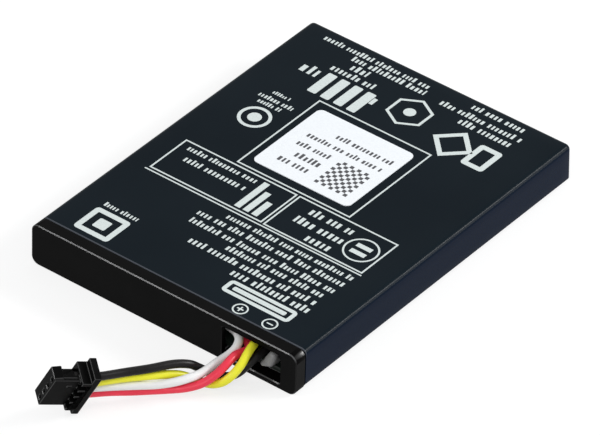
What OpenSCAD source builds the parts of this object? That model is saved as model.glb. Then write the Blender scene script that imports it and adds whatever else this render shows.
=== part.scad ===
// Flat battery module for a storage controller card: a wrapped lithium cell in a
// moulded tray, a protection board behind the end cap and a four-wire lead with a plug.
// Millimetres. X runs across the cap, Y from the cap to the rear, Z up.
// The origin is the centre of the pack's footprint, on the surface it stands on.

/* [Pack] */
// Width over the end cap
pack_w = 40; // [36:0.5:46]
// Length from the cap's face to the rear
pack_l = 54; // [48:0.5:66]
// Thickness of the wrapped body
body_t = 5.3; // [5:0.1:7]
// Radius of the body's long edges
edge_r = 1; // [0.6:0.1:1.4]
// Radius of the two rear corners, seen from above
rear_corner_r = 1.2; // [0.8:0.1:2.5]

/* [End cap] */
// Depth of the cap that shows in front of the film
cap_depth = 1.8; // [1.6:0.1:3]
// How far the cap stands out below the body
cap_drop = 0.5; // [0.2:0.1:1]
// How far the cap stands out above the body
cap_rise = 0.1; // [0:0.05:0.3]
// How far the cap stands out at each side of the body
cap_side = 0.1; // [0:0.05:0.3]
// Radius of the cap's four long edges
cap_corner_r = 1.1; // [0.8:0.1:1.8]
// Thickness of the cap's front wall
cap_wall = 0.8; // [0.6:0.1:1.2]
// Thickness of the cap below the lead's outlet
cap_lip = 0.8; // [0.6:0.05:1.1]
// Thickness of the cap above the lead's outlet
cap_brow = 1; // [0.8:0.05:1.2]
// Wall of the sleeve that goes back under the film
sleeve_wall = 0.5; // [0.4:0.05:0.7]
// Length of the sleeve
sleeve_l = 5.2; // [5:0.1:7]

/* [Lead outlet] */
// Width of the opening in the cap
outlet_w = 8.7; // [8.2:0.1:9.5]
// Distance from the opening to the cap's right side
outlet_edge = 2.4; // [1.8:0.1:3]
// Radius of the opening's corners
outlet_r = 0.2; // [0.1:0.05:0.5]

/* [Film and stickers] */
// Thickness of the printed film
film_t = 0.12; // [0.08:0.02:0.2]
// How far the film laps over the rear face
film_lap = 1.1; // [0.8:0.1:1.6]
// Seam between the film and the cap
film_seam = 0.05; // [0.02:0.01:0.15]
// Width of the white sticker
sticker_w = 14.6; // [10:0.2:20]
// Length of the white sticker
sticker_l = 13.4; // [10:0.2:20]
// Thickness of the white sticker
sticker_t = 0.1; // [0.06:0.02:0.2]
// Corner radius of the white sticker
sticker_r = 0.8; // [0.4:0.1:1.5]
// Distance from the sticker's middle to the rear
sticker_back = 20.8; // [14:0.2:26]

/* [Tray and cell] */
// Side wall of the tray
tray_wall = 0.9; // [0.7:0.1:1.3]
// Rear wall of the tray
tray_rear = 1.3; // [1:0.1:2]
// Floor of the tray
tray_floor = 0.4; // [0.3:0.05:0.6]
// Thickness of the double-sided tape under the cell
tape_t = 0.12; // [0.08:0.02:0.2]
// Gap round the cell
cell_gap = 0.15; // [0.1:0.05:0.4]
// Radius of the cell's long edges
cell_r = 1.3; // [0.8:0.1:1.6]
// Depth of the cell's sealed front ledge
ledge_l = 2.6; // [2:0.1:4]
// Thickness of the sealed ledge
ledge_t = 0.3; // [0.2:0.05:0.5]
// Width of the two cell tabs
tab_w = 4; // [3:0.2:5]
// Thickness of the two cell tabs
tab_t = 0.12; // [0.08:0.02:0.2]
// Distance between the middles of the two tabs
tab_gap = 12; // [8:0.5:14]

/* [Circuit board] */
// Thickness of the board
board_t = 0.6; // [0.5:0.05:0.8]
// Depth of the board, from front to rear
board_d = 5.4; // [5.2:0.1:5.7]
// Height of the rails' lower ledge above the sleeve's floor
board_lift = 0.25; // [0.2:0.05:0.5]
// Clearance of the board in its rails
board_fit = 0.05; // [0.03:0.01:0.1]
// Reach of the rails over the board's ends
rail_w = 1.2; // [0.8:0.1:1.8]

/* [Lead] */
// Diameter of each wire over its insulation
wire_d = 1.05; // [0.8:0.05:1.05]
// Radius of the solder lump at the end of each wire
solder_r = 0.8; // [0.6:0.05:0.9]

/* [Plug] */
// Distance between two circuits
pitch = 1.25; // [1.22:0.01:1.4]
// Number of circuits
circuits = 4; // [4:1:4]
// Length of the plug
plug_l = 5.4; // [5.2:0.1:6.2]
// Thickness of the plug's front part
plug_t = 2; // [1.9:0.05:2.4]
// Plastic outside the first and the last contact
plug_side = 0.75; // [0.6:0.05:1]
// Length of the rear flange
flange_l = 0.9; // [0.7:0.1:1.2]
// Thickness of the rear flange
flange_t = 3; // [2.8:0.1:3.6]
// How far the flange stands out at each end
flange_out = 1.15; // [0.8:0.05:1.4]
// Length of the ribbed section in front of the flange
rib_l = 1.2; // [1:0.1:1.3]
// How far the ribs stand out of the broad faces
rib_out = 0.6; // [0.5:0.05:0.7]
// How far the ribbed section stands out at each narrow end
ear_out = 0.25; // [0.15:0.05:0.4]
// How far the locking ramps stand out at the narrow ends
lock_out = 0.2; // [0.1:0.05:0.3]
// Clearance round each contact and wire
plug_fit = 0.05; // [0.03:0.01:0.08]

/* [Hidden] */
$fn = 48;
eps = 0.01;

// Planes of the pack
front_y = -pack_l / 2;
rear_y = pack_l / 2;
body_w = pack_w - 2 * cap_side;
body_z = cap_drop;
top_z = body_z + body_t;
cap_h = top_z + cap_rise;
body_y = front_y + cap_depth;
film_y = body_y + film_seam;

// What goes under the film keeps this far inside the body's outer form
under_fit = 0.03;
under = film_t + under_fit;
sleeve_end = body_y + sleeve_l;
tray_gap = 0.1;
tray_y = sleeve_end + tray_gap;
window_r = 0.4;

// Room inside the sleeve
room_w = body_w - 2 * under - 2 * sleeve_wall;
room_z = body_z + under + sleeve_wall;
room_r = 0.3;

// Opening in the cap
outlet_x = pack_w / 2 - outlet_edge - outlet_w;
outlet_z = cap_lip;
outlet_h = cap_h - cap_brow - outlet_z;

// Board
board_gap = 0.4;
rail_t = 0.8;
board_w = room_w - 2 * board_fit;
board_y = front_y + cap_wall + board_gap;
board_z = room_z + board_lift;
board_top = board_z + board_t;

// Cell
floor_z = body_z + under + tray_floor;
cell_z = floor_z + tape_t;
cell_top = top_z - film_t - cell_gap;
cell_t = cell_top - cell_z;
cell_w = body_w - 2 * under - 2 * tray_wall - 2 * cell_gap;
cell_corner_r = rear_corner_r + 0.2;
ledge_y = tray_y + 2 * cell_gap;
ledge_side = 1;
cell_y = ledge_y + ledge_l;
cell_rear = rear_y - under - tray_rear - cell_gap;
ledge_z = cell_z + cell_t / 2 - ledge_t / 2;
tape_margin = 4;
ledge_tape_l = 1.2;
ledge_tape_t = 0.06;

// Weld plates under the tabs, at the rear edge of the board
plate_t = 0.2;
plate_l = 1.6;
plate_edge = 0.2;
plate_w = tab_w + 2 * plate_edge;
plate_y = board_y + board_d - plate_l - plate_edge / 2;
plate_top = board_top + plate_t;

// Plug, in its own frame: X from the mating face to the wires, Y across the circuits
plug_w = (circuits - 1) * pitch + 2 * plug_side;
flange_w = plug_w + 2 * flange_out;
flange_x = plug_l - flange_l;
rib_x = flange_x - rib_l;
// Row of wires, and of the contacts that they are crimped to
row_z = -0.2;
contact_z = 0.1;
contact_w = 0.8;
contact_h = 1.04;
contact_wall = 0.12;
contact_front = 0.45;
contact_bore = 2.1;
contact_end = 2.8;
wire_gap = 0.02;
// Opening in the mating face for each pin
slot_w = 0.5;
slot_z = 0.35;
// Web between two pockets of the ribbed section, and plastic under each pocket
web = 0.35;
pocket_z = 0.6;
// Narrow ends: ramp, catch behind it, and ridge in the catch
lock_x = 1.2;
catch_d = 0.2;
catch_wall = 0.3;
ridge_w = 0.4;
ridge_out = 0.12;
waist = 0.15;
// Raised mark beside the first circuit
mark_size = [0.5, 0.2, 0.12];
mark_at = [2.25, 1.5];
plug_turn = [112, 16, 60];
// The plug stands on the lowest corner of its flange
plug_z = sin(plug_turn[1]) * plug_l + cos(plug_turn[1])
    * (sin(plug_turn[0]) * flange_w / 2 - cos(plug_turn[0]) * flange_t / 2);
plug_at = [-8.4, -22.1, plug_z];

// The lead's points count from the left end of the outlet, in the cap's front plane
lead_at = [outlet_x, front_y, 0];
solder_back = 0.35;
pad_y = board_y + board_d - front_y - solder_back - solder_r - board_fit;
pad_z = board_top + wire_d / 2;
pad_l = 0.8;
entry_l = 1.2;
// The routes are drawn for these heights of the wires on their pads and under the
// outlet's upper edge. Inside the pack they follow the real heights, and from there to
// settled_y they come back to the drawn ones
drawn_pad_z = 2.525;
drawn_top_z = 4.375;
settled_y = 4;
outlet_room = (outlet_z + outlet_h - wire_d / 2 - pad_z) / (drawn_top_z - drawn_pad_z);
route_white = [
    [-2.1, 3.7, 2.6], [-1.3, 2.8, 2.8], [-0.1, 2.2, 3.2], [1.1, 1.6, 3.5], [2.0, 0.8, 3.5],
    [2.4, -0.2, 3.2], [2.3, -1.2, 2.8], [2.1, -2.2, 2.6], [1.9, -3.3, 2.5], [1.8, -4.7, 2.4],
    [1.6, -6.2, 2.4], [1.2, -7.6, 2.5], [0.4, -9.0, 2.4], [-1.0, -10.5, 2.2],
    [-2.6, -12.2, 2.3], [-4.2, -14.2, 2.6]
];
route_red = [
    [0.6, 3.8, 2.6], [1.3, 3.0, 2.6], [2.2, 2.2, 2.6], [3.0, 1.4, 2.7], [3.5, 0.5, 2.9],
    [3.5, -0.6, 3.2], [3.5, -1.7, 3.5], [3.6, -2.8, 3.5], [3.6, -4.0, 3.2], [3.3, -5.2, 2.6],
    [2.5, -6.6, 1.8], [1.1, -7.9, 1.2], [-0.4, -9.2, 1.0], [-1.8, -10.6, 1.0],
    [-3.4, -12.5, 1.2], [-4.9, -14.5, 1.6]
];
route_yellow = [
    [3.2, 3.9, 2.7], [3.5, 2.8, 3.1], [4.0, 1.5, 3.8], [4.5, 0.1, 4.2], [4.9, -1.4, 4.1],
    [5.1, -2.7, 3.5], [4.9, -3.9, 2.7], [4.2, -4.8, 1.8], [3.1, -5.3, 1.2], [1.9, -5.6, 1.0],
    [0.8, -6.1, 1.2], [0.0, -6.9, 1.8], [-0.7, -8.1, 2.4], [-2.0, -10.6, 3.1],
    [-3.7, -13.4, 3.6]
];
route_black = [
    [5.3, 3.8, 2.6], [5.3, 2.4, 3.0], [5.4, 1.0, 3.3], [5.3, -0.3, 3.1], [5.0, -1.3, 2.6],
    [4.5, -2.2, 1.8], [3.7, -2.9, 1.2], [2.6, -3.4, 1.0], [1.4, -4.0, 1.3], [0.6, -4.9, 2.1],
    [0.1, -6.1, 3.1], [-0.8, -8.0, 3.8], [-2.0, -10.9, 4.3], [-3.4, -13.6, 4.7]
];
pads_x = [-2.3, 0.3, 3.1, 5.3];
wire_sides = 8;
// The glue lies on the board beside the last wire and runs up beside it. X counts from that
// wire's pad, the rest as in the routes, and the last number is the radius
glue_drops = [[1.3, 2.3, 2.4, 0.6], [0.75, 0.3, 2.35, 0.3], [1.45, 0.7, 2.7, 0.6], [1.7, 0.9, 3.6, 0.6]];

// Free strip of the board, from the left rail to the first pad
strip_x = rail_w - board_w / 2;
strip_w = lead_at[0] + pads_x[0] - solder_r - strip_x;
plate_gap = 0.3;
positive_x = strip_x + strip_w - plate_gap - plate_w / 2;
negative_x = positive_x - tab_gap;

// Components: width, depth, height
switch_size = [3, 1.6, 0.8];
resistor_size = [1.6, 1.6, 0.5];
gauge_size = [4.4, 1.6, 0.9];
protection_size = [2.9, 1.3, 1];
thermistor_size = [1, 1.6, 0.8];
capacitor_size = [0.5, 1, 0.5];
// Their rows, counted from the board's front edge
chip_row = 1.5;
thermistor_row = 3.6;
// Bent leads of a chip, and the air under it
lead_size = [0.3, 0.5, 0.35];
chip_air = 0.1;

// ---- Shared outlines -------------------------------------------------------

// A rectangle with round corners, centred
module round_rect(w, h, r) {
    square([w - 2 * r, h], center = true);
    square([w, h - 2 * r], center = true);
    for (x = [-1, 1], y = [-1, 1])
        translate([x * (w / 2 - r), y * (h / 2 - r)]) circle(r);
}

// A cross-section in the XZ plane, pulled along Y from y0 to y1
module along_y(y0, y1) {
    translate([0, y1, 0]) rotate([90, 0, 0]) linear_extrude(y1 - y0) children();
}

// A slab rounded along all its edges: r along the faces, corner_r seen from above
module slab(w, l, h, r, corner_r) {
    intersection() {
        along_y(-l / 2, l / 2) round_rect(w, h, r);
        translate([0, 0, -h / 2]) linear_extrude(h) round_rect(w, l, corner_r);
        translate([-w / 2, 0, 0]) rotate([90, 0, 90]) linear_extrude(w) round_rect(l, h, r);
    }
}

// The body's outer form, drawn in by inset, from y0 to the rear
module body_form(inset, y0) {
    past = 4;
    l = rear_y - inset - y0 + past;
    intersection() {
        translate([0, rear_y - inset - l / 2, body_z + body_t / 2])
            slab(body_w - 2 * inset, l, body_t - 2 * inset, edge_r - inset, rear_corner_r - inset);
        translate([-pack_w, y0, 0]) cube([2 * pack_w, pack_l, 2 * cap_h]);
    }
}

// A flat strip that lies at height z0 from back to step, then steps down to z1 and
// lies there from foot to front
module stepped_strip(w, t, back, step, z0, foot, front, z1) {
    rotate([90, 0, 90]) linear_extrude(w) polygon([
        [back, z0], [step, z0], [foot, z1], [front, z1],
        [front, z1 + t], [foot - t / 2, z1 + t], [step - t / 2, z0 + t], [back, z0 + t]
    ]);
}

// ---- Casing ----------------------------------------------------------------

module cap_section() {
    translate([0, cap_h / 2]) round_rect(pack_w, cap_h, cap_corner_r);
}

module sleeve_section(inset, r) {
    translate([0, body_z + body_t / 2]) round_rect(body_w - 2 * inset, body_t - 2 * inset, r);
}

// Two C-shaped rails hold the ends of the board
module board_rails() {
    over = board_top + board_fit;
    for (side = [-1, 1]) {
        x = side > 0 ? room_w / 2 - rail_w : -room_w / 2 - eps;
        translate([x, body_y, room_z - eps])
            cube([rail_w + eps, sleeve_l, board_lift + eps]);
        translate([x, body_y, over]) cube([rail_w + eps, sleeve_l, rail_t]);
    }
}

module end_cap() {
    color([0.11, 0.11, 0.11]) {
        difference() {
            union() {
                along_y(front_y, body_y) cap_section();
                along_y(body_y - eps, sleeve_end) sleeve_section(under, edge_r - under);
            }
            // Room for the board, open at the rear
            along_y(front_y + cap_wall, sleeve_end + eps)
                sleeve_section(under + sleeve_wall, room_r);
            // Opening for the lead
            translate([outlet_x + outlet_w / 2, 0, outlet_z + outlet_h / 2])
                along_y(front_y - eps, body_y) round_rect(outlet_w, outlet_h, outlet_r);
        }
        board_rails();
    }
}

module housing_tray() {
    pocket_w = body_w - 2 * under - 2 * tray_wall;
    pocket_end = rear_y - under - tray_rear;
    // The pocket runs out through the open front
    pocket_l = pocket_end - tray_y + 2 * rear_corner_r;
    color([0.13, 0.13, 0.14]) difference() {
        body_form(under, tray_y);
        translate([0, pocket_end - pocket_l / 2, floor_z])
            linear_extrude(body_t) round_rect(pocket_w, pocket_l, rear_corner_r);
    }
}

module label_wrap() {
    color([0.1, 0.12, 0.16]) difference() {
        body_form(0, film_y);
        body_form(film_t, film_y - 1);
        translate([0, rear_y, body_z + body_t / 2]) rotate([90, 0, 0])
            translate([0, 0, -1]) linear_extrude(2)
                round_rect(body_w - 2 * film_lap, body_t - 2 * film_lap, window_r);
    }
}

module white_sticker() {
    color([0.93, 0.93, 0.93])
        translate([-0.4, rear_y - sticker_back, top_z])
            linear_extrude(sticker_t) round_rect(sticker_w, sticker_l, sticker_r);
}

// ---- Cell ------------------------------------------------------------------

// A sealed pouch: the filled body and the thin ledge where the tabs come out
module battery_cell() {
    color([0.75, 0.76, 0.78]) {
        translate([0, (cell_y + cell_rear) / 2, cell_z + cell_t / 2])
            slab(cell_w, cell_rear - cell_y, cell_t, cell_r, cell_corner_r);
        translate([-cell_w / 2 + ledge_side, ledge_y, ledge_z])
            cube([cell_w - 2 * ledge_side, ledge_l + cell_r, ledge_t]);
    }
}

module cell_tape() {
    color([0.85, 0.8, 0.6])
        translate([-cell_w / 2 + tape_margin, cell_y + tape_margin, floor_z])
            cube([cell_w - 2 * tape_margin, cell_rear - cell_y - 2 * tape_margin, tape_t]);
}

// Each tab leaves the ledge, steps down and is welded to its plate on the board
module cell_tab(x) {
    tab_back = ledge_y + ledge_tape_l + 2 * plate_edge;
    translate([x - tab_w / 2, 0, 0])
        stepped_strip(tab_w, tab_t, tab_back, ledge_y - plate_edge / 2, ledge_z + ledge_t,
            plate_y + plate_l, plate_y + plate_edge, plate_top);
}

module positive_tab() {
    color([0.82, 0.83, 0.85]) cell_tab(positive_x);
}

module negative_tab() {
    color([0.72, 0.7, 0.64]) cell_tab(negative_x);
}

// Amber insulating tape over the tabs where they cross the ledge
module ledge_tape() {
    color([0.85, 0.6, 0.1])
        translate([negative_x - tab_w, ledge_y + plate_edge, ledge_z + ledge_t + tab_t])
            cube([tab_gap + 2 * tab_w, ledge_tape_l, ledge_tape_t]);
}

// ---- Circuit board ---------------------------------------------------------

module circuit_board() {
    color([0.05, 0.09, 0.07])
        translate([-board_w / 2, board_y, board_z]) cube([board_w, board_d, board_t]);
}

module tab_plate(x) {
    translate([x - plate_w / 2, plate_y, board_top]) cube([plate_w, plate_l, plate_t]);
}

module positive_plate() {
    color([0.8, 0.79, 0.74]) tab_plate(positive_x);
}

module negative_plate() {
    color([0.8, 0.79, 0.74]) tab_plate(negative_x);
}

// A block that stands on the board, centred on its place
module block(size) {
    translate([-size[0] / 2, -size[1] / 2, 0]) cube(size);
}

// A chip with bent leads along its two long sides
module leaded_chip(size, leads) {
    step = size[0] / leads;
    lead_y = (size[1] + lead_size[1]) / 2 - chip_air / 2;
    translate([0, 0, chip_air]) block([size[0], size[1], size[2] - chip_air]);
    for (side = [-1, 1], i = [0 : leads - 1])
        translate([(i + 0.5) * step - size[0] / 2, side * lead_y, 0]) block(lead_size);
}

// Puts a component on the free strip, at a share of its width
module on_board(share, row) {
    translate([strip_x + share * strip_w, board_y + row, board_top]) children();
}

module power_switch() {
    color([0.12, 0.12, 0.12]) on_board(0.116, chip_row) leaded_chip(switch_size, 4);
}

module sense_resistor() {
    color([0.2, 0.2, 0.2]) on_board(0.273, chip_row) block(resistor_size);
}

module gauge_chip() {
    color([0.1, 0.1, 0.1]) on_board(0.53, chip_row) leaded_chip(gauge_size, 6);
}

module protection_chip() {
    color([0.1, 0.1, 0.1]) on_board(0.82, chip_row) leaded_chip(protection_size, 3);
}

module thermistor() {
    color([0.25, 0.2, 0.15]) on_board(0.076, thermistor_row) block(thermistor_size);
}

// Small ceramic capacitors beside the chips
module capacitors() {
    color([0.7, 0.6, 0.45])
        for (share = [0.366, 0.694, 0.947]) on_board(share, chip_row) block(capacitor_size);
}

// Each wire ends flat against a lump of solder on its pad
module wire_solder() {
    color([0.78, 0.79, 0.8]) for (x = pads_x)
        translate([lead_at[0] + x, lead_at[1] + pad_y, board_top]) intersection() {
            translate([0, solder_back, 0]) sphere(solder_r);
            translate([-solder_r, 0, 0]) cube(2 * solder_r);
        }
}

// Glue that steadies the last wire where it leaves the board
module glue_bead() {
    color([0.75, 0.75, 0.75]) translate(lead_at) intersection() {
        hull() for (p = glue_drops)
            translate(fitted([pads_x[3] + p[0], p[1], p[2]])) sphere(p[3], $fn = 20);
        translate([pads_x[3], 0, board_top]) cube([outlet_w, pad_y, cap_h]);
    }
}

// ---- Lead ------------------------------------------------------------------

function unit(v) = v / norm(v);

// A point of the plug's own frame, counted like the lead's points
function turn_x(p, a) = [p[0], p[1] * cos(a) - p[2] * sin(a), p[1] * sin(a) + p[2] * cos(a)];
function turn_y(p, a) = [p[0] * cos(a) + p[2] * sin(a), p[1], p[2] * cos(a) - p[0] * sin(a)];
function turn_z(p, a) = [p[0] * cos(a) - p[1] * sin(a), p[0] * sin(a) + p[1] * cos(a), p[2]];
function from_plug(p) = plug_at
    + turn_z(turn_y(turn_x(p, plug_turn[0]), plug_turn[1]), plug_turn[2]);

function circuit_y(i) = (i - (circuits - 1) / 2) * pitch;

// A drawn point, at the height that the board and the outlet give it
function fitted(p) =
    let (inside = max(0, min(1, 1 + p[1] / settled_y)))
    [p[0], p[1], (1 - inside) * p[2] + inside * (pad_z + (p[2] - drawn_pad_z) * outlet_room)];

// The whole route of a wire: solder pad, drawn points, plug
function wire_route(pad, route, circuit) = concat(
    [[pads_x[pad], pad_y, pad_z], [pads_x[pad], pad_y - pad_l, pad_z]],
    [for (p = route) fitted(p)],
    [for (x = [plug_l + entry_l, plug_l, contact_end + wire_gap])
        from_plug([x, circuit_y(circuit), row_z])]
);

function heading(p, i) = unit(p[min(i + 1, len(p) - 1)] - p[max(i - 1, 0)]);

function wire_ring(p, i) =
    let (along = heading(p, i), side = unit(cross(along, [0, 0, 1])), up = cross(side, along))
    [for (k = [0 : wire_sides - 1])
        p[i] + wire_d / 2 * (cos(k * 360 / wire_sides) * side + sin(k * 360 / wire_sides) * up)];

module swept_wire(p) {
    n = wire_sides;
    last = (len(p) - 1) * n;
    points = [for (i = [0 : len(p) - 1]) each wire_ring(p, i)];
    sides = [for (i = [0 : len(p) - 2], k = [0 : n - 1]) each
        let (a = i * n + k, b = i * n + (k + 1) % n) [[a, b, b + n], [a, b + n, a + n]]];
    ends = [[for (k = [n - 1 : -1 : 0]) k], [for (k = [0 : n - 1]) last + k]];
    translate(lead_at) polyhedron(points, concat(sides, ends));
}

module wire_white() {
    color([0.94, 0.94, 0.93]) swept_wire(wire_route(0, route_white, 1));
}

module wire_red() {
    color([0.9, 0.22, 0.28]) swept_wire(wire_route(1, route_red, 0));
}

module wire_yellow() {
    color([0.92, 0.9, 0.2]) swept_wire(wire_route(2, route_yellow, 2));
}

module wire_black() {
    color([0.08, 0.08, 0.08]) swept_wire(wire_route(3, route_black, 3));
}

// ---- Plug ------------------------------------------------------------------

module in_plug() {
    translate(lead_at + plug_at) rotate(plug_turn) children();
}

// A box from x0 to x1, centred on y and z
module plug_box(x0, x1, y, z, w, h) {
    translate([x0, y - w / 2, z - h / 2]) cube([x1 - x0, w, h]);
}

// Ramp that locks into the header, on the narrow end at side
module lock_ramp(side) {
    translate([0, 0, -plug_t / 2]) linear_extrude(plug_t - catch_wall) polygon([
        [0, side * (plug_w / 2 - eps)], [lock_x, side * (plug_w / 2 - eps)],
        [lock_x, side * (plug_w / 2 + lock_out)], [0, side * plug_w / 2]
    ]);
}

// Catch behind the ramp, with a ridge left standing in it
module lock_catch(side) {
    catch_t = plug_t - catch_wall;
    ridge_z = plug_t / 2 - catch_wall - ridge_w;
    difference() {
        plug_box(lock_x, rib_x, side * plug_w / 2, -catch_wall / 2, 2 * catch_d, catch_t + eps);
        plug_box(lock_x - eps, rib_x + eps, side * (plug_w / 2 - catch_d), ridge_z,
            2 * ridge_out, ridge_w);
    }
}

module plug_housing() {
    wire_room = wire_d + 2 * plug_fit;
    color([0.09, 0.09, 0.09]) in_plug() difference() {
        union() {
            plug_box(0, plug_l, 0, 0, plug_w, plug_t);
            plug_box(rib_x, flange_x + eps, 0, 0, plug_w + 2 * ear_out, plug_t + 2 * rib_out);
            plug_box(flange_x, plug_l, 0, 0, flange_w, flange_t);
            for (side = [-1, 1]) lock_ramp(side);
            translate([mark_at[0], mark_at[1], plug_t / 2]) cube(mark_size, center = true);
        }
        for (i = [0 : circuits - 1]) {
            y = circuit_y(i);
            // Opening in the mating face, contact chamber and wire entry
            plug_box(-eps, contact_front + eps, y, slot_z, slot_w, slot_w);
            plug_box(contact_front - eps, contact_end, y, contact_z,
                contact_w + 2 * plug_fit, contact_h + 2 * plug_fit);
            plug_box(contact_end - eps, plug_l + eps, y, row_z, wire_room, wire_room);
            // Pocket between the webs, for the contact's latch
            plug_box(rib_x - eps, flange_x, y, pocket_z + plug_t / 2, pitch - web, plug_t);
        }
        for (side = [-1, 1]) lock_catch(side);
        // Waist across the lower broad face, between the ramps and the ribs
        plug_box(lock_x, rib_x, 0, -plug_t / 2, 2 * plug_w, 2 * waist);
    }
}

// A box contact with its crimp, one for each wire
module contact(i) {
    color([0.8, 0.72, 0.5]) in_plug() difference() {
        plug_box(contact_front, contact_end, circuit_y(i), contact_z, contact_w, contact_h);
        plug_box(contact_front - eps, contact_bore, circuit_y(i), contact_z,
            contact_w - 2 * contact_wall, contact_h - 2 * contact_wall);
    }
}

module contact_1() { contact(0); }
module contact_2() { contact(1); }
module contact_3() { contact(2); }
module contact_4() { contact(3); }

end_cap();
housing_tray();
label_wrap();
white_sticker();
battery_cell();
cell_tape();
positive_tab();
negative_tab();
ledge_tape();
circuit_board();
positive_plate();
negative_plate();
gauge_chip();
protection_chip();
power_switch();
sense_resistor();
thermistor();
capacitors();
wire_solder();
glue_bead();
wire_white();
wire_red();
wire_yellow();
wire_black();
plug_housing();
contact_1();
contact_2();
contact_3();
contact_4();
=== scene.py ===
"""Looks of the battery module: camera, lead, label, materials and light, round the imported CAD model.

Metres, in the CAD's own frame: X across the end cap, Y from the cap to the rear, Z up.
"""
import math
import random

import bmesh
import bpy
from mathutils import Matrix, Vector


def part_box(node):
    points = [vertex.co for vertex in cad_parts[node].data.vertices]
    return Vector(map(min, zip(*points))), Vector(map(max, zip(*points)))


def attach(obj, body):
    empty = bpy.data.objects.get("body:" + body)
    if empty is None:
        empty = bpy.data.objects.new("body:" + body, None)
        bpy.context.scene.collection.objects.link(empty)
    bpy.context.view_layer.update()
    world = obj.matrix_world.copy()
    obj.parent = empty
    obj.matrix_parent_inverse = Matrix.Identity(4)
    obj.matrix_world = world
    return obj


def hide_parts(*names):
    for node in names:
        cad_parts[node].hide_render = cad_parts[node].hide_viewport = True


MM = 0.001
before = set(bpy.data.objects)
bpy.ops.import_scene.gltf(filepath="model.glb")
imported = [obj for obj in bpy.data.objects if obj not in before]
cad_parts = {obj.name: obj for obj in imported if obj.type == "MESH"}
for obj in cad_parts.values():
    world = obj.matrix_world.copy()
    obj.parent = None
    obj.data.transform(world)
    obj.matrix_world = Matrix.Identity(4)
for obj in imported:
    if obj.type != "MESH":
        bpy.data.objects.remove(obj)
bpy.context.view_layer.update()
scene = bpy.context.scene

# ---- Camera ------------------------------------------------------------------

CAMERA_AZIMUTH = 36.994  # degrees, from the cap's front towards its right
CAMERA_ELEVATION = 37.568
CAMERA_ROLL = -1.865
CAMERA_DISTANCE = 831.8 * MM
CAMERA_AIM = Vector((-0.432, -0.115, 0.483)) * MM
CAMERA_LENS = 415.6
CAMERA_SENSOR = 36
CAMERA_CLIP = (0.01, 10)


def add_camera():
    """A long lens at the photograph's viewing angle."""
    a, e, roll = (math.radians(x) for x in (CAMERA_AZIMUTH, CAMERA_ELEVATION, CAMERA_ROLL))
    back = Vector((math.sin(a) * math.cos(e), -math.cos(a) * math.cos(e), math.sin(e)))
    flat_right = Vector((math.cos(a), math.sin(a), 0))
    flat_up = back.cross(flat_right)
    right = math.cos(roll) * flat_right - math.sin(roll) * flat_up
    up = math.sin(roll) * flat_right + math.cos(roll) * flat_up
    data = bpy.data.cameras.new("camera")
    data.lens, data.sensor_width = CAMERA_LENS, CAMERA_SENSOR
    data.clip_start, data.clip_end = CAMERA_CLIP
    camera = bpy.data.objects.new("camera", data)
    scene.collection.objects.link(camera)
    turn = Matrix((right, up, back)).transposed().to_4x4()
    camera.matrix_world = Matrix.Translation(CAMERA_AIM + back * CAMERA_DISTANCE) @ turn
    scene.camera = camera


add_camera()
bpy.context.view_layer.update()

# ---- Meshes ------------------------------------------------------------------


def add_piece(name, mesh, material):
    """A mesh of the scene's own, riding on the pack, with the material it is given."""
    piece = bpy.data.objects.new(name, mesh)
    scene.collection.objects.link(piece)
    mesh.materials.append(material)
    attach(piece, "root")
    return piece


def bmesh_to_mesh(name, bm):
    """A new mesh with what the bmesh holds, which is freed."""
    mesh = bpy.data.meshes.new(name)
    bm.normal_update()
    bm.to_mesh(mesh)
    bm.free()
    return mesh


# ---- Node helpers --------------------------------------------------------------

WHITE = (1, 1, 1, 1)


def principled(material):
    """A material's tree and its Principled shader."""
    return material.node_tree, material.node_tree.nodes["Principled BSDF"]


def new_material(name):
    """A node material, with its tree and its Principled shader."""
    material = bpy.data.materials.new(name)
    material.use_nodes = True
    return material, *principled(material)


def add_node(tree, kind, inputs=None, **settings):
    """A node with its settings, and its inputs each linked to a socket or set to a value."""
    made = tree.nodes.new(kind)
    for key, value in settings.items():
        setattr(made, key, value)
    for key, value in (inputs or {}).items():
        if isinstance(value, bpy.types.NodeSocket):
            tree.links.new(value, made.inputs[key])
        else:
            made.inputs[key].default_value = value
    return made


def object_place(tree):
    """The place on the object, in metres, because every object sits at the origin."""
    return add_node(tree, "ShaderNodeTexCoord").outputs["Object"]


def noise(tree, place, scale, detail=3.0):
    """Noise between 0 and 1; scale is in bumps per metre."""
    made = add_node(tree, "ShaderNodeTexNoise", {"Vector": place, "Scale": scale, "Detail": detail})
    return made.outputs["Fac"]


def map_range(tree, value, start, end, low=0.0, high=1.0):
    """low where the value is at start, high where it is at end, and clamped beyond them."""
    made = add_node(tree, "ShaderNodeMapRange", {"Value": value, "From Min": start, "From Max": end,
                                                 "To Min": low, "To Max": high})
    return made.outputs["Result"]


def spread(tree, value, low=0.0, high=1.0):
    """A noise's usual values, which keep near its middle, spread from low to high."""
    return map_range(tree, value, 0.3, 0.7, low, high)


def compute(tree, operation, first, second):
    """The result of a Math node."""
    return add_node(tree, "ShaderNodeMath", {0: first, 1: second}, operation=operation).outputs[0]


def blend_colours(tree, factor, first, second):
    """first where the factor is 0, second where it is 1."""
    made = add_node(tree, "ShaderNodeMix", {"Factor": factor, "A": first, "B": second}, data_type="RGBA")
    return made.outputs["Result"]


def mix_shaders(tree, factor, first, second):
    """first where the factor is 0, second where it is 1."""
    inputs = {0: factor, 1: first.outputs[0], 2: second.outputs[0]}
    return add_node(tree, "ShaderNodeMixShader", inputs).outputs[0]


def add_bump(tree, shader, height, distance):
    """A relief of the given depth, in metres, from a 0 to 1 height."""
    made = add_node(tree, "ShaderNodeBump", {"Height": height, "Distance": distance})
    tree.links.new(made.outputs["Normal"], shader.inputs["Normal"])


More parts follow.
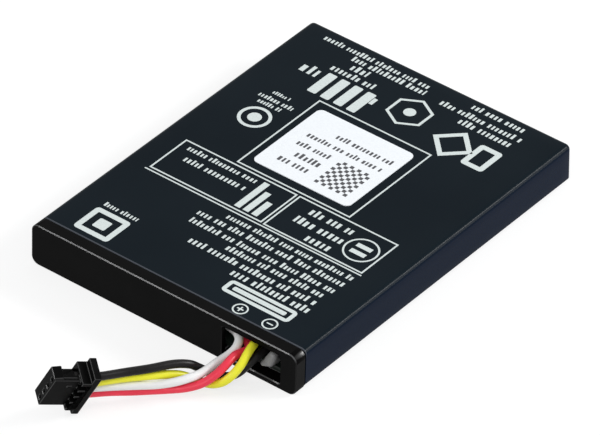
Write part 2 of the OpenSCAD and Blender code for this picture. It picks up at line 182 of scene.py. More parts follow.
def mottled(tree, shader, factor, dark, light):
    """Base colour between a darker and a lighter one."""
    colour = blend_colours(tree, spread(tree, factor), (*dark, 1), (*light, 1))
    tree.links.new(colour, shader.inputs["Base Color"])


def uneven_gloss(tree, shader, factor, low, high):
    """Roughness between a low and a high value."""
    tree.links.new(spread(tree, factor, low, high), shader.inputs["Roughness"])


GRAIN = 9000.0  # bumps per metre
GRAIN_DEPTH = 0.002 * MM


def plastic(name, dark, light, roughness, specular):
    """Moulded plastic: a faint cloudiness in its colour, uneven gloss and a fine grain."""
    material, tree, shader = new_material(name)
    place = object_place(tree)
    mottled(tree, shader, noise(tree, place, 220.0, 4.0), dark, light)
    uneven_gloss(tree, shader, noise(tree, place, 900.0), *roughness)
    shader.inputs["Specular IOR Level"].default_value = specular
    add_bump(tree, shader, noise(tree, place, GRAIN, 2.0), GRAIN_DEPTH)
    return material


def metal(name, dark, light, roughness, streak=(1.0, 6.0, 1.0)):
    """Bare metal: streaks across Y in its colour and gloss, or even mottling where streak is 1 each way."""
    material, tree, shader = new_material(name)
    stretched = add_node(tree, "ShaderNodeMapping", {"Vector": object_place(tree), "Scale": streak})
    streaks = noise(tree, stretched.outputs["Vector"], 1500.0, 5.0)
    mottled(tree, shader, streaks, dark, light)
    uneven_gloss(tree, shader, streaks, *roughness)
    shader.inputs["Metallic"].default_value = 1.0
    add_bump(tree, shader, streaks, 0.003 * MM)
    return material


# ---- Lead: four wires on the routes of the CAD source --------------------------
# Numbers not multiplied by MM are in millimetres, and places are relative to LEAD_AT.

WIRE_RADIUS = 0.525 * MM
WIRE_SIDES = 18
STEPS_BETWEEN = 5  # rings from one point of a route to the next
LEAD_AT = Vector((8.9, -27.0, 0)) * MM
PAD_Y, PAD_BACK_Y, PAD_Z = 4.6, 5.4, 2.525
PLUG_TURN = (112, 16, 60)  # degrees about X, Y and Z, in that order
PLUG_LENGTH, ENTRY_LENGTH, CONTACT_END, WIRE_GAP = 5.4, 1.2, 2.8, 0.02
FLANGE_WIDTH, FLANGE_THICKNESS = 7.55, 3.0
PLUG_X, PLUG_Y = -8.4, -22.1
PITCH, CIRCUITS, ROW_Z = 1.25, 4, -0.2

WIRES = {  # pad's X, circuit in the plug, and the drawn points from the pad to the plug
    "wire_white": (-2.3, 1, [
        (-2.1, 3.7, 2.6), (-1.3, 2.8, 2.8), (-0.1, 2.2, 3.2), (1.1, 1.6, 3.5), (2.0, 0.8, 3.5),
        (2.4, -0.2, 3.2), (2.3, -1.2, 2.8), (2.1, -2.2, 2.6), (1.9, -3.3, 2.5), (1.8, -4.7, 2.4),
        (1.6, -6.2, 2.4), (1.2, -7.6, 2.5), (0.4, -9.0, 2.4), (-1.0, -10.5, 2.2),
        (-2.6, -12.2, 2.3), (-4.2, -14.2, 2.6)]),
    "wire_red": (0.3, 0, [
        (0.6, 3.8, 2.6), (1.3, 3.0, 2.6), (2.2, 2.2, 2.6), (3.0, 1.4, 2.7), (3.5, 0.5, 2.9),
        (3.5, -0.6, 3.2), (3.5, -1.7, 3.5), (3.6, -2.8, 3.5), (3.6, -4.0, 3.2), (3.3, -5.2, 2.6),
        (2.5, -6.6, 1.8), (1.1, -7.9, 1.2), (-0.4, -9.2, 1.0), (-1.8, -10.6, 1.0),
        (-3.4, -12.5, 1.2), (-4.9, -14.5, 1.6)]),
    "wire_yellow": (3.1, 2, [
        (3.2, 3.9, 2.7), (3.5, 2.8, 3.1), (4.0, 1.5, 3.8), (4.5, 0.1, 4.2), (4.9, -1.4, 4.1),
        (5.1, -2.7, 3.5), (4.9, -3.9, 2.7), (4.2, -4.8, 1.8), (3.1, -5.3, 1.2), (1.9, -5.6, 1.0),
        (0.8, -6.1, 1.2), (0.0, -6.9, 1.8), (-0.7, -8.1, 2.4), (-2.0, -10.6, 3.1),
        (-3.7, -13.4, 3.6)]),
    "wire_black": (5.3, 3, [
        (5.3, 3.8, 2.6), (5.3, 2.4, 3.0), (5.4, 1.0, 3.3), (5.3, -0.3, 3.1), (5.0, -1.3, 2.6),
        (4.5, -2.2, 1.8), (3.7, -2.9, 1.2), (2.6, -3.4, 1.0), (1.4, -4.0, 1.3), (0.6, -4.9, 2.1),
        (0.1, -6.1, 3.1), (-0.8, -8.0, 3.8), (-2.0, -10.9, 4.3), (-3.4, -13.6, 4.7)]),
}


def plug_matrix():
    """The plug's own frame: X from the mating face to the wires, Y across the circuits."""
    tx, ty, tz = (math.radians(x) for x in PLUG_TURN)
    turn = Matrix.Rotation(tz, 4, "Z") @ Matrix.Rotation(ty, 4, "Y") @ Matrix.Rotation(tx, 4, "X")
    stands_at = -(turn @ Vector((PLUG_LENGTH, -FLANGE_WIDTH / 2, FLANGE_THICKNESS / 2))).z
    place = LEAD_AT + Vector((PLUG_X, PLUG_Y, stands_at)) * MM
    return Matrix.Translation(place) @ turn @ Matrix.Scale(MM, 4)


def wire_points(pad_x, circuit, drawn):
    """Every point of a wire's route, from its solder pad to its contact."""
    to_world = plug_matrix()
    across = (circuit - (CIRCUITS - 1) / 2) * PITCH
    inside = [(pad_x, PAD_BACK_Y, PAD_Z), (pad_x, PAD_Y, PAD_Z)]
    seated = [to_world @ Vector((x, across, ROW_Z))
              for x in (PLUG_LENGTH + ENTRY_LENGTH, PLUG_LENGTH, CONTACT_END + WIRE_GAP)]
    return [LEAD_AT + Vector(p) * MM for p in inside + drawn] + seated


def smooth_line(points):
    """A Catmull-Rom curve through the points, sampled closely."""
    padded = [2 * points[0] - points[1], *points, 2 * points[-1] - points[-2]]
    line = []
    for a, b, c, d in zip(padded, padded[1:], padded[2:], padded[3:]):
        for step in range(STEPS_BETWEEN):
            t = step / STEPS_BETWEEN
            line.append(0.5 * (2 * b + (c - a) * t + (2 * a - 5 * b + 4 * c - d) * t * t
                               + (3 * b - a - 3 * c + d) * t ** 3))
    return line + [points[-1]]


def join_rings(bm, rings):
    """Smooth faces from each ring of points to the next."""
    for first, second in zip(rings, rings[1:]):
        for k, start in enumerate(first):
            j = (k + 1) % len(first)
            bm.faces.new((start, first[j], second[j], second[k])).smooth = True


def tube_mesh(name, line):
    """A wire's closed tube round its line, with rings that don't twist."""
    bm = bmesh.new()
    turns = [2 * math.pi * k / WIRE_SIDES for k in range(WIRE_SIDES)]
    rings, up = [], Vector((0, 0, 1))
    for i, point in enumerate(line):
        along = (line[min(i + 1, len(line) - 1)] - line[max(i - 1, 0)]).normalized()
        side = along.cross(up).normalized()
        up = side.cross(along).normalized()
        outward = [math.cos(t) * side + math.sin(t) * up for t in turns]
        rings.append([bm.verts.new(point + WIRE_RADIUS * out) for out in outward])
    join_rings(bm, rings)
    bm.faces.new(rings[0])
    bm.faces.new(reversed(rings[-1]))
    bmesh.ops.recalc_face_normals(bm, faces=bm.faces)
    return bmesh_to_mesh(name, bm)


def insulation(name, base, shade, roughness, specular):
    """Soft extruded insulation: slow shifts of shade, faint ripples along it and a satin skin."""
    material, tree, shader = new_material(name)
    place = object_place(tree)
    mottled(tree, shader, noise(tree, place, 160.0), base, shade)
    uneven_gloss(tree, shader, noise(tree, place, 1200.0), roughness - 0.06, roughness + 0.06)
    shader.inputs["Specular IOR Level"].default_value = specular
    add_bump(tree, shader, noise(tree, place, 700.0, 4.0), 0.025 * MM)
    return material


WIRE_LOOKS = {  # two shades, roughness and specular level
    "wire_white": ((0.83, 0.83, 0.82), (0.74, 0.74, 0.74), 0.42, 0.35),
    "wire_red": ((0.90, 0.045, 0.085), (0.74, 0.030, 0.065), 0.34, 0.35),
    "wire_yellow": ((0.84, 0.82, 0.03), (0.76, 0.73, 0.03), 0.36, 0.30),
    "wire_black": ((0.0070, 0.0066, 0.0066), (0.0110, 0.0100, 0.0100), 0.30, 0.12),
}


def add_wires():
    """The four insulated wires, each a short cord from its solder pad to its contact."""
    for name, (pad_x, circuit, drawn) in WIRES.items():
        line = smooth_line(wire_points(pad_x, circuit, drawn))
        mesh = tube_mesh(name + "_insulation", line)
        piece = add_piece(name + "_insulation", mesh, insulation(name, *WIRE_LOOKS[name]))
        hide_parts(name)


add_wires()

# ---- Light and floor ------------------------------------------------------------


def see_white(tree):
    """1 for rays from the camera, from a gloss or through glass, and 0 for the light that falls on things."""
    path = add_node(tree, "ShaderNodeLightPath").outputs
    camera_or_gloss = compute(tree, "MAXIMUM", path["Is Camera Ray"], path["Is Glossy Ray"])
    return compute(tree, "MAXIMUM", camera_or_gloss, path["Is Transmission Ray"])


WORLD_COLOUR = (0.97, 0.985, 1, 1)
WORLD_LIGHT = 0.43


def add_world():
    """Even light all round; what sees the world itself sees plain white."""
    world = bpy.data.worlds.new("studio")
    scene.world = world
    world.use_nodes = True
    tree = world.node_tree
    tree.nodes.clear()
    seen = add_node(tree, "ShaderNodeBackground", {"Color": WHITE, "Strength": 1.0})
    light = add_node(tree, "ShaderNodeBackground", {"Color": WORLD_COLOUR, "Strength": WORLD_LIGHT})
    add_node(tree, "ShaderNodeOutputWorld", {"Surface": mix_shaders(tree, see_white(tree), light, seen)})


FLOOR_SIZE = 1.6
FLOOR_DROP = 0.02 * MM
FLOOR_PALE = 0.80  # the floor that lights the object
FLOOR_SEEN, FLOOR_GLOW = 0.30, 0.74  # the floor that is seen: the part that takes a shadow, and its own glow


def add_floor():
    """A pale floor that reads white and keeps a faint shadow of the object."""
    bm = bmesh.new()
    bmesh.ops.create_grid(bm, x_segments=1, y_segments=1, size=FLOOR_SIZE / 2)
    floor = bpy.data.objects.new("floor", bmesh_to_mesh("floor", bm))
    scene.collection.objects.link(floor)
    floor.location.z = -FLOOR_DROP
    material, tree, shader = new_material("floor")
    shader.inputs["Base Color"].default_value = (FLOOR_PALE, FLOOR_PALE, FLOOR_PALE, 1)
    shader.inputs["Roughness"].default_value = 0.9
    shader.inputs["Specular IOR Level"].default_value = 0.0
    matt = add_node(tree, "ShaderNodeBsdfDiffuse", {"Color": (FLOOR_SEEN, FLOOR_SEEN, FLOOR_SEEN, 1)})
    glow = add_node(tree, "ShaderNodeEmission", {"Color": WHITE, "Strength": FLOOR_GLOW})
    seen = add_node(tree, "ShaderNodeAddShader", {0: matt.outputs[0], 1: glow.outputs[0]})
    mixed = mix_shaders(tree, see_white(tree), shader, seen)
    tree.links.new(mixed, tree.nodes["Material Output"].inputs["Surface"])
    floor.data.materials.append(material)


LAMPS = {  # place, size in metres, power in watts
    "front_strip": ((-0.29, -0.37, 0.38), (0.18, 0.05), 0.90),
    "rear_strip": ((0.345, 0.38, 0.311), (0.24, 0.10), 2.4),
    "rear_low": ((0.449, 0.38, 0.13), (0.24, 0.22), 1.1),
    "fill": ((0.20, -0.45, 0.32), (0.40, 0.30), 1.0),
}


def add_lamps():
    """Small lamps draw the long edges, and a broad one on the camera's side fills. All face the origin."""
    for name, (place, size, power) in LAMPS.items():
        data = bpy.data.lights.new(name, "AREA")
        data.shape, data.size, data.size_y = "RECTANGLE", *size
        data.energy = power
        lamp = bpy.data.objects.new(name, data)
        scene.collection.objects.link(lamp)
        lamp.location = place
        lamp.rotation_euler = (-Vector(place)).to_track_quat("-Z", "Y").to_euler()


add_world()
add_floor()
add_lamps()

# ---- Carried-over CAD nodes -------------------------------------------------------

WELD_WITHIN = 0.0005 * MM
FLAT_WITHIN = math.radians(0.5)
EDGE_ANGLE = math.radians(40)
# painted highlight: the paler colour that bevelled edges take where they face up
EDGE_PAINTED_HIGHLIGHT = (0.080, 0.080, 0.082, 1)


def bevel(node, width, edge):
    """Breaks a node's sharp edges, in a material of their own: handling polishes them."""
    node.data.materials.append(edge)
    weld = node.modifiers.new("weld", "WELD")
    weld.merge_threshold = WELD_WITHIN
    flat = node.modifiers.new("flat_faces", "DECIMATE")
    flat.decimate_type, flat.angle_limit = "DISSOLVE", FLAT_WITHIN
    made = node.modifiers.new("edges", "BEVEL")
    made.width, made.segments = width, 1
    made.limit_method, made.angle_limit = "ANGLE", EDGE_ANGLE
    made.use_clamp_overlap, made.mark_sharp = False, True
    made.material = 1
    normals = node.modifiers.new("normals", "WEIGHTED_NORMAL")
    normals.weight, normals.keep_sharp = 100, True


def dress(name, material):
    """Gives a CAD node a material of the scene's."""
    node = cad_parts[name]
    node.data.materials.clear()
    node.data.materials.append(material)
    return node


def facing(tree):
    """Outputs X, Y and Z: how far a face turns towards each axis, from its normal."""
    normal = add_node(tree, "ShaderNodeNewGeometry").outputs["Normal"]
    return add_node(tree, "ShaderNodeSeparateXYZ", {"Vector": normal}).outputs


def cap_material():
    """Black moulding, rubbed to a shine along its rounded right-hand corner."""
    material = plastic("cap_plastic", (0.0014, 0.0014, 0.0014), (0.0026, 0.0026, 0.0026), (0.30, 0.38), 0.03)
    tree, shader = principled(material)
    turned = facing(tree)
    rubbed = map_range(tree, compute(tree, "MULTIPLY", turned["X"], turned["Z"]), 0.38, 0.49)
    tree.links.new(rubbed, shader.inputs["Coat Weight"])
    shader.inputs["Coat Roughness"].default_value = 0.3
    return material


def edge_material():
    """The same plastic where handling has polished an edge, with a painted highlight: a paler colour where
    the edge faces up.
    """
    material = plastic("polished_edge", (0.003, 0.003, 0.0031), (0.005, 0.005, 0.0052), (0.16, 0.24), 0.12)
    tree, shader = principled(material)
    # painted highlight: edges that face up get a paler colour
    upward = map_range(tree, facing(tree)["Z"], 0.2, 0.6)
    edge_unpainted = shader.inputs["Base Color"].links[0].from_socket
    tree.links.new(blend_colours(tree, upward, edge_unpainted, EDGE_PAINTED_HIGHLIGHT), shader.inputs["Base Color"])
    return material


def dress_nodes():
    """Every CAD node that stays gets its material, and breaks in its edges where a width is given."""
    cap = cap_material()
    tray = plastic("tray_plastic", (0.006, 0.006, 0.007), (0.008, 0.008, 0.009), (0.45, 0.55), 0.2)
    plug = plastic("plug_plastic", (0.0030, 0.0030, 0.0030), (0.0044, 0.0044, 0.0044), (0.30, 0.42), 0.016)
    edge = edge_material()
    plug_edge = plastic("plug_edge", (0.0060, 0.0060, 0.0062), (0.0090, 0.0090, 0.0092), (0.20, 0.28), 0.4)
    chip = plastic("chip_resin", (0.008, 0.008, 0.008), (0.011, 0.011, 0.011), (0.5, 0.6), 0.3)
    pouch = metal("pouch_foil", (0.50, 0.51, 0.53), (0.60, 0.61, 0.63), (0.28, 0.38))
    tab_a = metal("tab_aluminium", (0.62, 0.63, 0.66), (0.72, 0.73, 0.75), (0.25, 0.35))
    tab_n = metal("tab_nickel", (0.48, 0.45, 0.38), (0.56, 0.53, 0.46), (0.25, 0.35))
    nickel = metal("nickel", (0.58, 0.56, 0.50), (0.66, 0.64, 0.58), (0.25, 0.35))
    contact = metal("contact_metal", (0.52, 0.42, 0.20), (0.62, 0.52, 0.28), (0.2, 0.3))
    solder = metal("solder", (0.55, 0.56, 0.57), (0.68, 0.69, 0.70), (0.15, 0.25), (1, 1, 1))
    board = plastic("board", (0.004, 0.008, 0.006), (0.006, 0.011, 0.008), (0.28, 0.34), 0.4)
    # painted shade: the white glue darkened to grey for the shadow of the outlet it sits in
    glue = plastic("glue", (0.17, 0.17, 0.17), (0.22, 0.22, 0.22), (0.25, 0.35), 0.3)
    foam = plastic("mounting_tape", (0.60, 0.50, 0.30), (0.70, 0.60, 0.38), (0.5, 0.6), 0.4)
    amber = plastic("insulating_tape", (0.60, 0.25, 0.01), (0.70, 0.32, 0.02), (0.2, 0.3), 0.5)
    ceramic = plastic("capacitor_body", (0.40, 0.28, 0.16), (0.48, 0.34, 0.20), (0.4, 0.5), 0.4)
    thermistor = plastic("thermistor_body", (0.04, 0.03, 0.02), (0.06, 0.045, 0.03), (0.3, 0.4), 0.4)
    for name, material, width in (  # width of the broken edges, in millimetres
            ("end_cap", cap, 0.12), ("housing_tray", tray, 0.1), ("plug_housing", plug, 0.07),
            ("battery_cell", pouch, 0), ("cell_tape", foam, 0), ("positive_tab", tab_a, 0),
            ("negative_tab", tab_n, 0), ("ledge_tape", amber, 0), ("circuit_board", board, 0),
            ("positive_plate", nickel, 0), ("negative_plate", nickel, 0), ("gauge_chip", chip, 0.04),
            ("protection_chip", chip, 0.04), ("power_switch", chip, 0.04), ("sense_resistor", chip, 0.04),
            ("thermistor", thermistor, 0.04), ("capacitors", ceramic, 0.04), ("wire_solder", solder, 0),
            ("glue_bead", glue, 0), ("contact_1", contact, 0), ("contact_2", contact, 0),
            ("contact_3", contact, 0), ("contact_4", contact, 0)):
        node = dress(name, material)
        if width:
            bevel(node, width * MM, plug_edge if name == "plug_housing" else edge)


FILM_INK = ((0.0042, 0.0080, 0.0118, 1), (0.0064, 0.0112, 0.0156, 1))
# painted light: the bluer colour that the film's sides take by the way they face
FILM_SIDE_PAINTED_BLUE = (0.0012, 0.0052, 0.0155, 1)
FILM_MARGIN = (0.060, 0.066, 0.078, 1)
FILM_MARGIN_END = -24.93 * MM
FILM_MARGIN_LOW, FILM_MARGIN_FULL = 4.6 * MM, 5.8 * MM


def film_material():
    """Glossy printed film: near-black, with a painted bluer colour on its sides as painted light, and a pale
    cut edge at the cap, which fades down the sides as painted light.

    Slow waves are left from its shrinking.
    """
    material, tree, shader = new_material("film")
    place = object_place(tree)
    printed = blend_colours(tree, spread(tree, noise(tree, place, 45.0)), *FILM_INK)
    # painted light: faces turned to the side get a bluer colour than the top
    upright = map_range(tree, facing(tree)["Z"], 0.75, 0.15)
    printed = blend_colours(tree, upright, printed, FILM_SIDE_PAINTED_BLUE)
    spot = add_node(tree, "ShaderNodeSeparateXYZ", {"Vector": place}).outputs
    at_cap = compute(tree, "LESS_THAN", spot["Y"], FILM_MARGIN_END)
    # the pale band is the film's cut edge; its fading down the sides by height is painted light, brightest
    # where the edge is lit on top
    margin_painted_fade = map_range(tree, spot["Z"], FILM_MARGIN_LOW, FILM_MARGIN_FULL)
    margin = compute(tree, "MULTIPLY", at_cap, margin_painted_fade)
    tree.links.new(blend_colours(tree, margin, printed, FILM_MARGIN), shader.inputs["Base Color"])
    uneven_gloss(tree, shader, noise(tree, place, 600.0), 0.16, 0.22)
    shader.inputs["Specular IOR Level"].default_value = 0.031
    add_bump(tree, shader, noise(tree, place, 260.0, 2.0), 0.006 * MM)
    return material


def paper_material():
    """The sticker's paper: fine fibre in its shade, and a satin skin."""
    material, tree, shader = new_material("sticker")
    place = object_place(tree)
    mottled(tree, shader, noise(tree, place, 4000.0, 5.0), (0.80, 0.83, 0.86), (0.85, 0.88, 0.91))
    uneven_gloss(tree, shader, noise(tree, place, 3000.0), 0.45, 0.55)
    shader.inputs["Specular IOR Level"].default_value = 0.3
    add_bump(tree, shader, noise(tree, place, GRAIN), GRAIN_DEPTH)
    return material


# ---- Film: a thin closed sleeve, open at the cap and with a window at the rear ------

FILM_THICKNESS = 0.12 * MM
FILM_TOP_R, FILM_LOW_R = 0.75 * MM, 0.35 * MM
FILM_LAP = 1.1 * MM  # how far it folds over the rear face
FILM_WINDOW_R = 0.4 * MM
FILM_SHRUNK = 0.13 * MM
FILM_STEP = 1.5 * MM  # longest stretch from one ring to the next
FILM_ARC = 8  # faces along each rounding
FILM_SIDE_STEPS, FILM_FLAT_STEPS = 4, 24
FILM_SHARP = math.radians(35)


def section(x1, z0, z1, low_r, top_r):
    """Points and normals round a section in XZ, with the same count whatever its size."""
    corners = ((x1 - low_r, z0 + low_r, low_r, -90), (x1 - top_r, z1 - top_r, top_r, 0),
               (top_r - x1, z1 - top_r, top_r, 90), (low_r - x1, z0 + low_r, low_r, 180))
    arcs = []
    for cx, cz, r, start in corners:
        turns = [math.radians(start + 90 * k / FILM_ARC) for k in range(FILM_ARC + 1)]
        normals = [Vector((math.cos(t), 0, math.sin(t))) for t in turns]
        arcs.append([(Vector((cx, 0, cz)) + r * n, n) for n in normals])
    points = []
    for arc, following, steps in zip(arcs, arcs[1:] + arcs[:1], (FILM_SIDE_STEPS, FILM_FLAT_STEPS) * 2):
        (p0, n), (p1, _) = arc[-1], following[0]
        points += arc + [(p0.lerp(p1, k / steps), n) for k in range(1, steps)]
    return points


def film_mesh():
    """Rings along the sleeve's outside, in through the rear window, and back along its inside to the cap."""
    low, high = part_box("label_wrap")
    outer = section(high.x, low.z, high.z, FILM_LOW_R, FILM_TOP_R)
    window = section(high.x - FILM_LAP, low.z + FILM_LAP, high.z - FILM_LAP, FILM_WINDOW_R, FILM_WINDOW_R)
    tall = high.z - low.z

    def reach(point):
        """Radius of the rear rounding: that of the nearer long edge, blended up the sides."""
        t = min(max((point.z - low.z) / tall, 0), 1)
        return FILM_LOW_R + (FILM_TOP_R - FILM_LOW_R) * t

    def straight(y, inset):
        """A ring on the straight stretch; the front one has shrunk back a little at the two sides."""
        shrunk = FILM_SHRUNK if y == low.y else 0
        return [p - inset * n + Vector((0, y + shrunk * abs(n.x), 0)) for p, n in outer]

    def turning(turn, inset):
        """A ring on the rounding that leads to the rear face."""
        ring = []
        for p, n in outer:
            r = reach(p)
            inner_r = r - inset
            ring.append(p - (r - inner_r * math.cos(turn)) * n
                        + Vector((0, high.y - r + inner_r * math.sin(turn), 0)))
        return ring

    end = high.y - FILM_TOP_R
    count = math.ceil((end - low.y) / FILM_STEP)
    ys = [low.y + (end - low.y) * k / count for k in range(count)]
    turns = [math.radians(90 * k / FILM_ARC) for k in range(FILM_ARC + 1)]
    rings = [straight(y, 0) for y in ys] + [turning(t, 0) for t in turns]
    rings += [[p + Vector((0, high.y - inset, 0)) for p, n in window] for inset in (0, FILM_THICKNESS)]
    rings += [turning(t, FILM_THICKNESS) for t in reversed(turns)]
    rings += [straight(y, FILM_THICKNESS) for y in reversed(ys)]
    bm = bmesh.new()
    made = [[bm.verts.new(p) for p in ring] for ring in rings]
    join_rings(bm, made + made[:1])
    bmesh.ops.recalc_face_normals(bm, faces=bm.faces)
    mesh = bmesh_to_mesh("printed_film", bm)
    mesh.set_sharp_from_angle(angle=FILM_SHARP)
    return mesh


def add_film():
    """The printed film, for the source's plain wrap."""
    film = add_piece("printed_film", film_mesh(), film_material())
    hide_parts("label_wrap")


# ---- Print: plain marks where the label has its print ------------------------------
# Outlines and rows are in millimetres; z is the metres of the surface that they lie on.

PRINT_HEIGHT = 0.012 * MM
PRINT_ROOT = 0.010 * MM  # how far the ink goes into what it is printed on, so that none floats
CORNER_STEPS = 4
SMALLEST_CORNER = 0.05
RING_SIDES = 40


def slab(bm, outer, z, inner=None):
    """A thin closed plate round an outline in millimetres, with a hole where there is an inner outline."""
    low, high = z - PRINT_ROOT, z + PRINT_HEIGHT
    loops = [outer] if inner is None else [outer, inner]
    floors = [[bm.verts.new((x * MM, y * MM, low)) for x, y in loop] for loop in loops]
    tops = [[bm.verts.new((x * MM, y * MM, high)) for x, y in loop] for loop in loops]
    count = len(outer)
    for loop, (below, above) in enumerate(zip(floors, tops)):
        for i in range(count):
            j = (i + 1) % count
            wall = (below[i], below[j], above[j], above[i])
            bm.faces.new(wall if loop == 0 else wall[::-1])
    if inner is None:
        bm.faces.new(tops[0])
        bm.faces.new(floors[0][::-1])
        return
    for i in range(count):
        j = (i + 1) % count
        bm.faces.new((tops[0][i], tops[0][j], tops[1][j], tops[1][i]))
        bm.faces.new((floors[1][i], floors[1][j], floors[0][j], floors[0][i]))


def outline_box(x0, x1, y0, y1, r=0.0):
    """A box's corners, counterclockwise, rounded where r is more than 0."""
    if r <= 0:
        return [(x0, y0), (x1, y0), (x1, y1), (x0, y1)]
    points = []
    for cx, cy, start in ((x1 - r, y0 + r, -90), (x1 - r, y1 - r, 0),
                          (x0 + r, y1 - r, 90), (x0 + r, y0 + r, 180)):
        for step in range(CORNER_STEPS + 1):
            t = math.radians(start + 90 * step / CORNER_STEPS)
            points.append((cx + r * math.cos(t), cy + r * math.sin(t)))
    return points


def outline_round(cx, cy, r, sides=RING_SIDES, turn=0.0):
    """A circle's points, or a polygon's where the sides are few."""
    turns = [turn + 2 * math.pi * k / sides for k in range(sides)]
    return [(cx + r * math.cos(t), cy + r * math.sin(t)) for t in turns]


def bar(bm, z, x0, x1, y0, y1, r=0.0):
    """A filled box."""
    slab(bm, outline_box(x0, x1, y0, y1, r), z)


def box_frame(bm, z, x0, x1, y0, y1, line, r=0.0):
    """A box's outline, with the line inside it."""
    inner_r = max(r - line, SMALLEST_CORNER) if r else 0.0
    slab(bm, outline_box(x0, x1, y0, y1, r), z,
         outline_box(x0 + line, x1 - line, y0 + line, y1 - line, inner_r))


def ring(bm, z, cx, cy, r, line, sides=RING_SIDES, turn=0.0):
    """A circle's or polygon's outline, with the line inside it."""
    slab(bm, outline_round(cx, cy, r, sides, turn), z, outline_round(cx, cy, r - line, sides, turn))


# A row's blocks, as shares of its height.
BOLDNESS = 0.32
BLOCK_WIDTHS = (0.8, 1.2)
BLOCK_GAPS = (0.22, 0.30)
BLOCK_DROPS = (0.0, 0.22, 0.25, 0.28)
WORD_SPACE = 0.40
LAST_BLOCK = 0.2  # no block starts closer than this to the row's end
FIRST_WORD, NEXT_WORDS = (3, 8), (3, 9)  # fewest and most blocks


def text_row(bm, z, x0, x1, y0, y1, seed):
    """A row of small plain blocks in word-long groups, where the label has a line of words."""
    draw = random.Random(seed)
    tall = y1 - y0
    at, left_in_word = x0, draw.randint(*FIRST_WORD)
    while at < x1 - LAST_BLOCK * tall:
        wide = tall * draw.uniform(*BLOCK_WIDTHS) * BOLDNESS
        end = min(at + wide, x1)
        drop = tall * draw.choice(BLOCK_DROPS)
        bar(bm, z, at, end, y0, y1 - drop)
        at = end + tall * draw.uniform(*BLOCK_GAPS)
        left_in_word -= 1
        if left_in_word == 0:
            at += WORD_SPACE * tall
            left_in_word = draw.randint(*NEXT_WORDS)


LABEL_ROWS = [  # x from, x to, y from, y to
    (-16.3, -0.1, 24.5, 25.4), (-11.0, 0.1, 23.2, 24.2), (6.2, 14.7, 24.8, 25.8),
    (2.7, 14.8, 23.0, 24.0), (6.7, 14.8, 21.4, 22.5), (-10.0, -7.5, 21.6, 22.8),
    (-11.9, -5.4, 20.1, 21.2), (-14.8, -12.3, 17.6, 19.4), (-4.0, -2.8, 17.6, 19.4),
    (-14.2, -11.6, 11.7, 12.3), (-15.3, -10.2, 10.3, 11.1), (-14.6, -11.2, 9.2, 9.9),
    (-15.0, -4.5, -3.9, -3.0), (-14.0, -4.4, -5.9, -4.9), (4.0, 10.7, -4.5, -3.2),
    (3.4, 10.6, -6.7, -5.4), (6.7, 10.7, -8.8, -7.5), (-3.0, 15.8, -11.4, -10.5),
    (-6.2, 15.9, -13.0, -12.0), (-6.0, 15.8, -14.7, -13.7), (0.7, 15.7, -16.2, -15.2),
    (-3.6, 15.8, -17.9, -16.8), (4.1, 15.8, -19.6, -18.4), (-15.7, -10.7, -18.8, -18.0),
]
STICKER_ROWS = [
    (-2.6, 5.9, 9.3, 10.2), (-5.6, 5.9, 7.4, 8.3), (-5.6, -0.5, 5.4, 6.3),
    (-4.3, -0.5, 3.3, 4.4), (-5.5, -0.6, 1.5, 2.6),
]
STICKER_SEED = 100
CHECKER_CELL = 0.54
CHECKER_FILLED = CHECKER_CELL * 0.94
CHECKER_X, CHECKER_Y = 0.65, 0.9
CHECKER_COLUMNS, CHECKER_ROWS = 9, 10


def print_material(name, dark, light):
    """Screen-printed ink: uneven cover and a slightly rough skin."""
    material, tree, shader = new_material(name)
    place = object_place(tree)
    mottled(tree, shader, noise(tree, place, 5000.0, 4.0), dark, light)
    uneven_gloss(tree, shader, noise(tree, place, 2500.0), 0.4, 0.55)
    shader.inputs["Specular IOR Level"].default_value = 0.2
    add_bump(tree, shader, noise(tree, place, GRAIN), 0.0015 * MM)
    return material


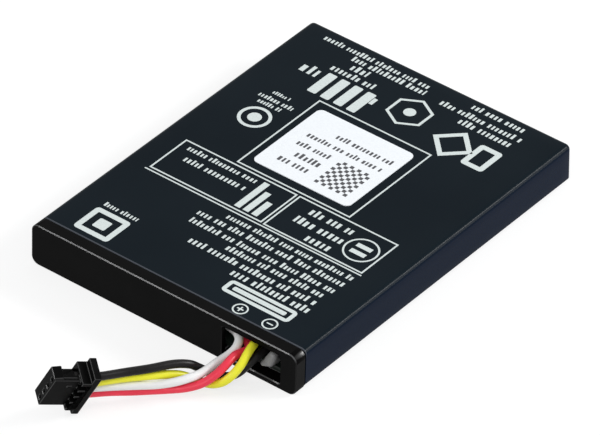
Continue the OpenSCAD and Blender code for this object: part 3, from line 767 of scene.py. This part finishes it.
def add_label_print():
    """Everything printed on the film's top."""
    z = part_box("label_wrap")[1][2]
    bm = bmesh.new()
    # three ruled boxes and a line across
    box_frame(bm, z, -8.9, 8.3, -1.9, 14.3, 0.22)
    box_frame(bm, z, -16.3, 0.8, -9.4, -2.3, 0.22)
    box_frame(bm, z, 1.1, 16.0, -9.5, -2.3, 0.22)
    bar(bm, z, -16.6, 16.2, -9.95, -9.75)
    for seed, row in enumerate(LABEL_ROWS):
        text_row(bm, z, *row, seed)
    # a framed bar, two rings with a plus and a minus, and a framed square
    box_frame(bm, z, 5.0, 15.0, -22.5, -20.1, 0.55, 0.6)
    bar(bm, z, 6.1, 13.9, -21.65, -20.95, 0.2)
    for cx in (9.2, 13.6):
        ring(bm, z, cx, -23.9, 1.0, 0.2)
        bar(bm, z, cx - 0.45, cx + 0.45, -24.0, -23.8)
    bar(bm, z, 9.1, 9.3, -23.8, -23.45)
    bar(bm, z, 9.1, 9.3, -24.35, -24.0)
    box_frame(bm, z, -16.0, -10.8, -24.2, -19.4, 0.75, 0.5)
    bar(bm, z, -14.3, -12.5, -22.7, -20.9, 0.2)
    # a ring with two bars, and a ring with a disc
    ring(bm, z, 13.2, -6.0, 2.27, 0.24)
    bar(bm, z, 12.1, 14.3, -5.7, -5.0)
    bar(bm, z, 12.1, 14.3, -7.0, -6.3)
    ring(bm, z, -12.8, 6.5, 2.15, 0.45)
    slab(bm, outline_round(-12.8, 6.5, 0.9), z)
    # three bars of falling height, and four bold ones
    for x0, y1 in ((-3.8, -2.9), (-2.5, -4.3), (-1.2, -5.7)):
        bar(bm, z, x0, x0 + 0.85, -8.8, y1)
    for x0 in (-11.4, -9.4, -7.4, -5.4):
        bar(bm, z, x0, x0 + 1.3, 14.9, 19.5, 0.2)
    # a six-sided frame with a dot, a bold frame on its corner and a bold upright one
    ring(bm, z, 1.0, 19.4, 3.0, 0.42, sides=6, turn=math.radians(30))
    slab(bm, outline_round(1.0, 19.4, 0.8), z)
    ring(bm, z, 8.9, 17.6, 3.0, 0.9, sides=4)
    box_frame(bm, z, 11.6, 14.9, 15.3, 19.9, 0.75, 0.5)
    ink = print_material("label_ink", (0.56, 0.62, 0.61), (0.68, 0.74, 0.73))
    add_piece("label_print", bmesh_to_mesh("label_print", bm), ink)


def add_sticker_print():
    """The sticker's rows, and its checkered square."""
    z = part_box("white_sticker")[1][2]
    bm = bmesh.new()
    for seed, row in enumerate(STICKER_ROWS):
        text_row(bm, z, *row, STICKER_SEED + seed)
    for i in range(CHECKER_COLUMNS):
        for k in range(CHECKER_ROWS):
            if (i + k) % 2 == 0:
                x, y = CHECKER_X + i * CHECKER_CELL, CHECKER_Y + k * CHECKER_CELL
                bar(bm, z, x, x + CHECKER_FILLED, y, y + CHECKER_FILLED)
    ink = print_material("sticker_ink", (0.06, 0.06, 0.065), (0.10, 0.10, 0.11))
    add_piece("sticker_print", bmesh_to_mesh("sticker_print", bm), ink)


dress_nodes()
add_film()
dress("white_sticker", paper_material())
add_label_print()
add_sticker_print()

scene.view_settings.view_transform = "Standard"
